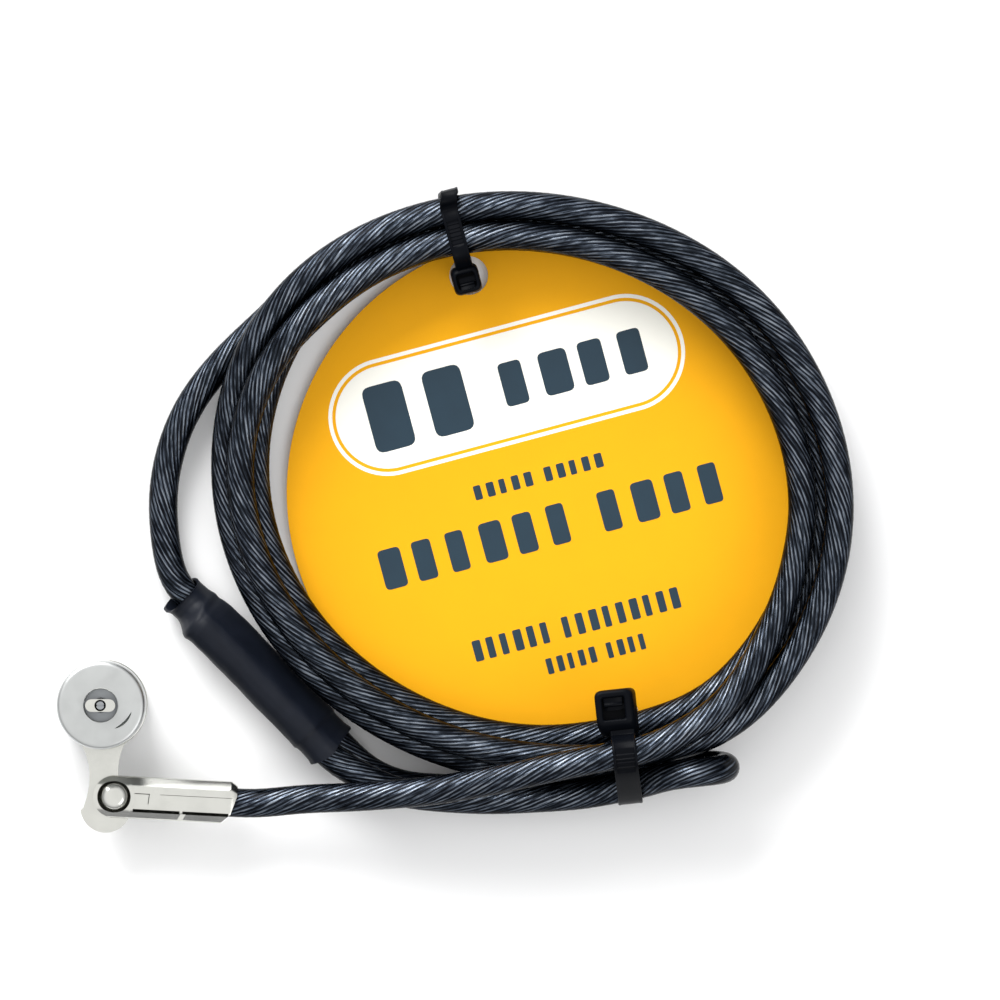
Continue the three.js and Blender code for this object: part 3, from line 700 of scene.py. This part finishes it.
# ---- Ferrule and rivet -----------------------------------
def build_ferrule():
    """A block bent from thick sheet: fork and rivet at one end, cable socket at the other."""
    wide, high, bevel, flat_bevel = 0.00435, 0.0042, 0.0018, 0.0014
    socket_r = CABLE_R + GAP
    corners = [
        (-wide + bevel, -high), (wide - bevel, -high), (wide, -high + bevel), (wide, high - bevel),
        (wide - bevel, high), (-wide + bevel, high), (-wide, high - flat_bevel), (-wide, -high + bevel),
    ]
    section = rounded(corners, 0.00035, 3)
    rings = []
    for x, shrink in [(-0.0060, 1), (0.0237, 1), (0.0241, 1), (0.0250, 0.86), (0.0254, 0.78)]:
        rings.append([Vector((x, y * shrink, z * (1 - 0.6 * (1 - shrink)))) for y, z in section])
    ends = [(0.0, wide), (0.0, 0.007), (-0.008, 0.007), (-0.008, -0.007), (0.0, -0.007), (0.0, -wide)]
    arc = [(wide * math.cos(t), wide * math.sin(t)) for t in [math.pi * (1.5 - k / 48) for k in range(1, 48)]]
    round_end = plate(ends + arc, -0.006, 0.006)
    socket = []
    for x in (FERRULE_LENGTH - SOCKET_DEPTH, FERRULE_LENGTH + 0.001):
        socket.append([Vector((x, socket_r * c, socket_r * s)) for c, s in circle(48)])
    fold = {"y": -0.00265, "half": 0.00036, "deep": 0.0022}  # where the sheet is bent down
    hair = {"half": 0.00008, "deep": 0.0004}  # where its edges meet
    head_ring = []  # a groove round the rivet's head, narrower as it goes down
    for r, z in [(0.00265, high - 0.0023), (0.00345, high), (0.0041, high + 0.0018)]:
        head_ring.append([Vector((r * c, r * s, z)) for c, s in circle(72)])
    mouth = [(0.0270, 0.0013), (0.0254, 0.0013), (0.0242, -0.0025), (0.02205, -0.0044), (0.02205, -0.006),
             (0.0270, -0.006)]
    cuts = [
        round_end,
        box_solid(-0.008, 0.0084, -0.006, 0.006, -0.0016, 0.0016),  # fork
        disc_solid(0, 0, 0.0018, -0.006, 0.006),
        loft(head_ring),
        disc_solid(0, 0, 0.0028, -0.006, -high + 0.0010),
        loft(socket),
        plate(mouth[::-1], -0.006, 0.006),
        v_groove((0.0040, fold["y"]), (0.0137, fold["y"]), fold["half"], fold["deep"], high),
        v_groove((0.0143, fold["y"]), (0.0238, fold["y"]), fold["half"], fold["deep"], high),
        v_groove((0.0042, 0.0009), (0.0073, 0.0009), hair["half"], hair["deep"], high),
        v_groove((0.0073, 0.0010), (0.0071, -0.0012), hair["half"], hair["deep"], high),
        v_groove((0.0095, 0.0009), (0.0300, 0.0009), 0.6 * hair["half"], 0.5 * hair["deep"], high),
        disc_ring(0.00428, 0.00440, high - 0.00025, 0.006, -0.5 * math.pi, 0.5 * math.pi),
        # a flat crimped across the corner below the fold line
        plate([(0.0126, -0.0052), (0.0138, -0.0052), (0.0150, -0.0029), (0.0139, -0.0029)], 0.0030, 0.006),
    ]
    solid = combined(loft(rings), cut=cuts, place=lambda p: ferrule_point(p.x, p.y, p.z))
    block = add_piece("ferrule_block", *solid, POLISHED, "cable", ["cable_ferrule"], "polished_metal", 30)
    soften(block, 0.00009)

    rivet = mm([
        (0, -4.15), (2.4, -4.1, 0.2), (2.4, -3.5), (1.5, -3.5), (1.5, 1.95), (2.6, 1.95, 0.1),
        (2.6, 4.15, 0.25), (2.0, 4.62, 0.4), (1.2, 4.78, 0.3), (0, 4.8),
    ])
    profile = rounded(rivet, 0)
    rings = [[ferrule_point(r * c, r * s, z) for r, z in profile] for c, s in circle(64)]
    pin = add_piece("rivet", *loft(rings, closed=True), POLISHED, "cable", ["pivot_pin"], "polished_metal")
    weld(pin)


def weld(piece, distance=1e-7):
    """Joins the points of a turned piece that fall together on its axis."""
    made = bmesh.new()
    made.from_mesh(piece.data)
    bmesh.ops.remove_doubles(made, verts=made.verts, dist=distance)
    bmesh.ops.dissolve_degenerate(made, edges=made.edges, dist=distance)
    bmesh.ops.recalc_face_normals(made, faces=made.faces)
    made.to_mesh(piece.data)
    made.free()


# ---- Shrink sleeve and the ferrule under it --------------
SLEEVE_SHAPE = [  # distance along in mm, how far the skin spans both strands, skin radius in mm
    (0.0, 0.34, 4.25), (0.6, 0.32, 4.12), (1.6, 0.31, 3.97), (3.2, 0.38, 3.88), (4.3, 0.52, 3.88),
    (5.2, 0.72, 3.93), (6.0, 0.88, 3.97), (7.0, 0.97, 4.0), (8.0, 1.0, 4.0),
    (20.0, 1.0, 3.97), (37.5, 1.0, 4.0), (38.6, 1.0, 4.06), (39.1, 1.0, 4.0), (39.5, 1.0, 3.76),
    (40.4, 1.0, 3.70), (42.6, 1.0, 3.74), (43.5, 1.0, 3.90), (44.06, 1.0, 4.05),
]


def sleeve_section(along, skin, thinner=0.0, count=72):
    """A ring of the sleeve: the skin stretched round the two strands at a distance along it."""
    at = [row[0] * 0.001 for row in SLEEVE_SHAPE]
    span = float(np.interp(along, at, [row[1] for row in SLEEVE_SHAPE]))
    radius = float(np.interp(along, at, [row[2] for row in SLEEVE_SHAPE])) * 0.001 * skin - thinner
    side = STRAND_SIDE * float(np.interp(along, [0, 0.004, 0.009, 0.014], [0, 0.4, 0.9, 1]))
    low = Vector((side, -STRAND_UP))
    reach = Vector((-2 * STRAND_SIDE, 2 * STRAND_UP)) * span
    lean = reach.normalized()
    ring = []
    for way in map(Vector, circle(count)):
        share = 0.5 + 0.5 * max(-1.0, min(1.0, way.dot(lean) / 0.2))
        ring.append((low + reach * share + way * radius, way))
    return ring


def build_sleeve():
    _, _, length = sleeve_frame()
    wall, lip, fold = 0.0006, 0.0014, 0.0007
    start, end = 0.0098, length - 0.0062  # the skin is finer up to the first and from the second
    stations = np.concatenate([
        np.arange(0, start, 0.00035), np.linspace(start, end, 60, False), np.linspace(end, length, 22),
    ])
    outside, inside = [], []
    for x in stations:
        outer, inner = [], []
        for (spot, way), (spot_in, _) in zip(sleeve_section(x, 1.0), sleeve_section(x, 1.0, wall)):
            uneven = 0.0002 * math.sin(3 * math.atan2(way.y, way.x))
            start_lip = math.exp(-x / lip) * (0.0013 * way.y + uneven)
            end_lip = math.exp(-(length - x) / lip) * (0.0011 * way.y + 0.0004 * math.sin(2.3 * way.x + 1))
            lumps = noise.noise(Vector((x * 420, spot.x * 520, spot.y * 520))) * 0.00007
            folds = noise.noise(Vector((x * 130, way.x * 3.5, way.y * 3.5 + 7))) * 0.00009
            crease = x - 0.0056 + 0.0011 * way.x
            neck = 0.00016 * math.exp(-((crease / fold) ** 2))
            neck -= 0.00009 * math.exp(-(((crease - 0.0014) / fold) ** 2))
            move = x + start_lip + end_lip
            outer.append(sleeve_point(move, *(spot + way * (lumps + folds + neck))))
            inner.append(sleeve_point(move, *spot_in))
        outside.append(outer)
        inside.append(inner)
    points, faces = loft(outside + inside[::-1], closed=True)
    add_piece("sleeve_skin", points, faces, SHRINK_TUBE, "cable", ["shrink_sleeve"], "shrink_tube", 60)

    shell = [  # distance along and radius: outside from end to end, then back along the inside
        (0.0075, 0.0026), (0.0080, 0.0029), (length - 0.0070, 0.0029), (length - 0.0065, 0.0026),
        (length - 0.0065, 0.0024), (0.0075, 0.0024),
    ]
    rings = [[sleeve_point(x, *spot) for spot in capsule(r)] for x, r in shell]
    add_piece("crimp_shell", *loft(rings, closed=True), STEEL, "cable", ["loop_ferrule"], "steel")


def capsule(radius, count=56):
    """A capsule outline round the two strands, in (side, up)."""
    lean = Vector((-STRAND_SIDE, STRAND_UP))
    along = lean.normalized()
    ways = [Vector(way) for way in circle(count)]
    return [lean * max(-1.0, min(1.0, way.dot(along) / 0.15)) + way * radius for way in ways]


# ---- Label card ------------------------------------------
CARD_TILT = math.radians(15)
PILL = {"x": 0.0836, "y": 0.0748, "long": 0.0758, "high": 0.0245}


def stadium(long, high, count=32):
    """A bar with round ends about the origin."""
    r = high / 2
    reach = long / 2 - r
    outline = []
    for k in range(2 * count):
        turn = math.pi * (k + 0.5) / count - math.pi / 2
        end = reach if math.cos(turn) > 0 else -reach
        outline.append(Vector((end + r * math.cos(turn), r * math.sin(turn))))
    return outline


def on_card(outline, x, y):
    c, s = math.cos(CARD_TILT), math.sin(CARD_TILT)
    return [Vector((x + p.x * c - p.y * s, y + p.x * s + p.y * c)) for p in outline]


def ink(name, outlines, material, low=0.00002, high=0.00003):
    """Printed shapes: a film on the card's face. A pair of outlines makes a line between them."""
    points, faces = [], []
    for outline in outlines:
        if isinstance(outline, tuple):
            outer, inner = outline
            rings = [[Vector((p.x, p.y, CARD["top"] + z)) for p in loop]
                     for loop, z in ((outer, -low), (outer, high), (inner, high), (inner, -low))]
            more_points, more_faces = loft(rings, closed=True)
        else:
            more_points, more_faces = plate(outline, CARD["top"] - low, CARD["top"] + high)
        base = len(points)
        points += more_points
        faces += [tuple(base + i for i in face) for face in more_faces]
    add_piece(name, points, faces, material, "cable", (), "yellow_card")


def word_row(x, y, words, glyph, gap, high):
    """A row of plain blocks that stands for a line of lettering. Each word is a number of blocks."""
    total = sum(n * glyph + (n - 1) * gap for n in words) + (len(words) - 1) * 2.6 * gap
    at, outlines = -total / 2, []
    for word in words:
        for k in range(word):
            wide = glyph * (0.88 + 0.12 * math.cos(2.1 * k + word))
            block = rounded([(at, -high / 2), (at + wide, -high / 2), (at + wide, high / 2), (at, high / 2)],
                            0.22 * min(wide, high), 4)
            outlines.append(on_card(block, x, y))
            at += glyph + gap
        at += 1.6 * gap
    return outlines


def build_card():
    made = bmesh.new()
    loops = [(CARD["x"], CARD["y"], CARD["r"], 256)]
    loops += [(tie["hole"].x, tie["hole"].y, HOLE_R, 64) for tie in (TIE_TOP, TIE_BOTTOM)]
    edges = []
    for x, y, r, count in loops:
        ring = [made.verts.new((x + r * c, y + r * s, CARD["bottom"])) for c, s in circle(count)]
        edges += [made.edges.new((ring[k], ring[(k + 1) % count])) for k in range(count)]
    bmesh.ops.triangle_fill(made, edges=edges, use_beauty=True)
    grown = bmesh.ops.extrude_face_region(made, geom=made.faces[:])
    risen = [v for v in grown["geom"] if isinstance(v, bmesh.types.BMVert)]
    bmesh.ops.translate(made, verts=risen, vec=(0, 0, CARD["top"] - CARD["bottom"]))
    points = [v.co.copy() for v in made.verts]
    made.verts.index_update()
    faces = [tuple(v.index for v in f.verts) for f in made.faces]
    made.free()
    card = add_piece("card", points, faces, YELLOW_CARD, "cable", ["label_card"], "yellow_card", 30)
    soften(card, 0.00006, 2, 60)

    def panel(inset):
        shape = stadium(PILL["long"] - 2 * inset, PILL["high"] - 2 * inset)
        return on_card(shape, PILL["x"], PILL["y"])

    outer, inner, face = panel(0), panel(0.0008), panel(0.0015)
    ink("print_light", [(outer, inner), face], CREAM_INK)
    along = Vector((math.cos(CARD_TILT), math.sin(CARD_TILT)))

    def spot(distance):
        return PILL["x"] + along.x * distance, PILL["y"] + along.y * distance

    rows = [  # middle, words, and each block's width, gap and height
        (*spot(-0.0181), [2], 0.0102, 0.0026, 0.0140), (*spot(0.0148), [4], 0.0061, 0.0024, 0.0092),
        (0.0902, 0.0558, [5, 5], 0.0017, 0.0010, 0.0030), (0.0931, 0.0456, [6, 4], 0.0048, 0.0024, 0.0084),
        (0.0981, 0.0251, [6, 9], 0.0018, 0.0011, 0.0044), (0.1022, 0.0190, [5, 4], 0.0014, 0.0009, 0.0033),
    ]
    ink("print_dark", [block for row in rows for block in word_row(*row)], NAVY_INK, 0.00001, 0.00005)


# ---- Cable ties ------------------------------------------
STRAP_T = 0.0011
TIE_TOP_LINE = [  # middle of the strap in mm: outward from the tie's place, across, and height
    (0.9, 0, 15.6), (1.7, 0, 16.1), (2.5, 0, 17.5), (4.0, 0, 19.1), (6.4, 0, 19.5), (9.4, 0, 19.6),
    (11.8, 0, 19.6), (13.6, 0, 19.3), (14.6, -0.1, 19.9), (15.6, -0.4, 20.9), (16.7, -0.8, 20.7),
    (17.2, -1.0, 19.2), (17.2, -0.9, 15.0), (17.1, -0.5, 10.0), (16.9, -0.3, 6.0), (15.2, 0, 2.4),
    (12.6, 0, 0.80), (8.0, 0, 0.66),
    (3.0, 0, 0.66), (0.0, 0, 0.75), (-1.1, 0, 1.8), (-1.25, 0, 4.0), (-1.25, 0, 9.0), (-1.25, 0, 15.6),
]
TIE_BOTTOM_LINE = [
    (3.8, 0, 22.4), (5.0, 0, 22.7), (5.6, 0, 24.2), (6.8, 0, 26.0), (8.6, 0, 26.7), (10.6, 0, 26.3),
    (12.5, 0, 24.6), (15.2, 0.1, 20.9), (17.3, 0.2, 17.3), (18.4, 0.25, 14.6), (18.8, 0.25, 11.0),
    (18.75, 0.2, 5.0), (17.9, 0.1, 1.9), (16.0, 0, 0.75), (9.0, 0, 0.66), (2.0, 0, 0.66), (-0.1, 0, 0.75),
    (-1.1, 0, 1.8), (-1.2, 0, 4.0), (-1.2, 0, 12.0), (-1.2, 0, 22.8),
]


def tie_point(tie, outward, across, height):
    out = tie["out"].normalized()
    side = Vector((-out.y, out.x, 0))
    return tie["at"] + out * outward + side * across + Vector((0, 0, height))


def strap_rings(tie, line, first_tooth, last_tooth):
    """The strap: a band with raised edge rails, and teeth between them on part of its length."""
    step = 0.00018
    path = spline(np.array(line) * 0.001, step)
    half, rail, thick = tie["width"] / 2, 0.00055, STRAP_T / 2
    rings = []
    for k, (spot, tangent) in enumerate(zip(path, directions(path))):
        along = k * step
        toothed = smooth((along - first_tooth) / 0.0008) * smooth((last_tooth - along) / 0.0008)
        floor = thick - 0.00006 - toothed * (0.00024 + 0.0002 * ((along / 0.0008) % 1.0))
        section = [
            (-half, -thick + 0.0001), (-half + 0.0001, -thick), (half - 0.0001, -thick),
            (half, -thick + 0.0001), (half, thick - 0.00012), (half - 0.00012, thick),
            (half - rail + 0.00008, thick),
            (half - rail, thick - 0.00004), (half - rail - 0.00006, floor), (0, floor + 0.00002),
            (-half + rail + 0.00006, floor), (-half + rail, thick - 0.00004), (-half + rail - 0.00008, thick),
            (-half + 0.00012, thick), (-half, thick - 0.00012),
        ]
        out = Vector((-tangent[2], tangent[0])).normalized()  # away from the bundle, in (outward, height)
        rings.append([
            tie_point(tie, spot[0] + out.x * h, spot[1] + a, spot[2] + out.y * h) for a, h in section
        ])
    return rings


def rounded_ring(tie, span, half, across, corner, height):
    """A ring with rounded corners: span outward, half its width, and its middle across."""
    first, last = span
    ring = rounded([
        (first, across - half), (last, across - half), (last, across + half), (first, across + half),
    ], corner, 6)
    return [tie_point(tie, p.x, p.y, height) for p in ring]


def build_tie(name, tie, line, head, teeth, node):
    """Strap, head and pawl. The head's window is its middle, and half its size out and across."""
    points, faces = loft(strap_rings(tie, line, *teeth))
    add_piece(name + "_strap", points, faces, NYLON, "cable", [node], "nylon", 50)
    first, last, half, slope = head["from"], head["to"], head["half"], head["slope"]
    low, top = head["bottom"], head["top"]
    at, window_out, window_half = head["window"]

    def lean(height):
        return head["across"] - head["lean"] * (height - low) / (top - low)

    def outer(height, inset, corner):
        """The outside of the head. Its wall on the strap's side slopes back as it rises."""
        share = max(0.0, (height - low) / (top - low) - 0.3) / 0.7
        return rounded_ring(
            tie, (first + inset, last - inset - slope * share), half - inset, lean(height), corner, height,
        )

    def inner(height, spread, corner):
        span = (at - window_out - spread, at + window_out + spread)
        return rounded_ring(tie, span, window_half + spread, lean(top), corner, height)

    rings = [
        outer(low, 0.0009, 0.0007), outer(low + 0.0003, 0.0004, 0.0010), outer(low + 0.0012, 0, 0.0014),
        outer(low + 0.0022, 0, 0.0015), outer(top - 0.0012, 0, 0.0016), outer(top - 0.0005, 0.00015, 0.0016),
        outer(top - 0.00012, 0.0004, 0.0015), outer(top, 0.0008, 0.0013),
        inner(top, 0.0003, 0.0005), inner(top - 0.0003, 0, 0.0004), inner(top - 0.0032, 0, 0.0004),
    ]
    add_piece(name + "_head", *loft(rings), NYLON, "cable", (), "nylon", 50)
    rows = []
    tongue = window_half - 0.0003
    for k in range(17):
        share = k / 16
        s = at - window_out + 0.0001 + share * window_out * 1.15
        step = 0.00035 * (smooth((share - 0.40) / 0.08) - 2.4 * smooth((share - 0.62) / 0.1))
        lift = top - 0.0007 - 0.0006 * share + step
        slim = tongue * (1 - 0.10 * share)
        rows.append([
            tie_point(tie, s, lean(top) + a, lift + rise)
            for a, rise in [(-slim, -0.0008), (slim, -0.0008), (slim, -0.0001), (slim - 0.00015, 0),
                            (-slim + 0.00015, 0), (-slim, -0.0001)]
        ])
    add_piece(name + "_pawl", *loft(rows), NYLON, "cable", (), "nylon", 50)


def build_ties():
    build_tie(
        "top_tie", TIE_TOP, TIE_TOP_LINE,
        {"from": -0.0041, "to": 0.0019, "half": 0.0029, "bottom": 0.0124, "top": 0.0170, "across": 0.0003,
         "lean": 0.0, "slope": 0.0006, "window": (-0.0016, 0.0017, 0.0019)},
        (0.0064, 0.0124), "tie_top",
    )
    build_tie(
        "bottom_tie", TIE_BOTTOM, TIE_BOTTOM_LINE,
        {"from": -0.0048, "to": 0.0050, "half": 0.0040, "bottom": 0.0193, "top": 0.0243, "across": -0.0002,
         "lean": 0.0011, "slope": 0.0024, "window": (-0.0009, 0.0023, 0.0023)},
        (0.0060, 0.0112), "tie_bottom",
    )


YELLOW_CARD = plastic("yellow_card", "f3ac10", 0.55, 0.000004, 3000, 0.012, 0.13)
CREAM_INK = plastic("cream_ink", "fcfaf0", 0.5, 0.000003, 3000, 0.01)
NAVY_INK = plastic("navy_ink", "1d3341", 0.45, 0.000003, 3000, 0.05, 0.3)

build_head()
build_collar()
build_ferrule()
build_sleeve()
build_card()
build_ties()


# ---- Camera, light and floor -----------------------------
def build_camera():
    data = bpy.data.cameras.new("camera")
    data.sensor_width = 36
    data.lens = 520
    camera = shown("camera", data)
    camera.location = (0.0822, 0.0509, 3.0)
    bpy.context.scene.camera = camera


def build_floor():
    mesh = bpy.data.meshes.new("floor")
    half = 1.5
    corners = [(-half, -half, 0), (half, -half, 0), (half, half, 0), (-half, half, 0)]
    mesh.from_pydata(corners, [], [(0, 1, 2, 3)])
    mesh.materials.append(Shader("floor", (0.93, 0.93, 0.93), 0.8).material)
    floor = shown("floor", mesh)


def add_light(name, place, target, size, power):
    data = bpy.data.lights.new(name, "AREA")
    data.shape = "RECTANGLE"
    data.size, data.size_y = size
    data.energy = power
    light = shown(name, data)
    light.location = place
    light.rotation_euler = (Vector(target) - Vector(place)).to_track_quat("-Z", "Y").to_euler()


def build_lights():
    """A white tent, brighter overhead than at the horizon, and a large soft light behind to the left."""
    world = bpy.data.worlds.new("studio")
    world.use_nodes = True
    tent = Nodes(world.node_tree)
    way = tent.node("TexCoord").outputs["Generated"]
    height = tent.node("SeparateXYZ", {0: way}).outputs[2]
    walls = tent.ramp(height, [(0.1, (0.20, 0.205, 0.22)), (0.85, (1.12, 1.12, 1.12))])
    lamp = Vector((-0.35, 0.90, 0.24)).normalized()  # a bright patch on the tent, low behind the coil
    near = tent.node("VectorMath", {0: way, 1: lamp}, operation="DOT_PRODUCT").outputs["Value"]
    patch = {"Value": near, "From Min": 0.89, "From Max": 0.98, "To Max": 7.0}
    glow = tent.node("MapRange", patch).outputs[0]
    light = tent.node("VectorMath", {0: walls, 1: glow}, operation="ADD").outputs[0]
    tent.tree.links.new(light, tent.tree.nodes["Background"].inputs["Color"])
    bpy.context.scene.world = world
    middle = (0.08, 0.05, 0)
    add_light("key", (-0.35, 0.85, 0.80), middle, (0.7, 0.45), 9.5)
    add_light("fill", (0.7, -0.5, 0.9), middle, (0.6, 0.6), 2.5)
    bpy.context.scene.view_settings.view_transform = "Standard"


build_camera()
build_floor()
build_lights()

[tuple(p) for p in CABLE_PATH]
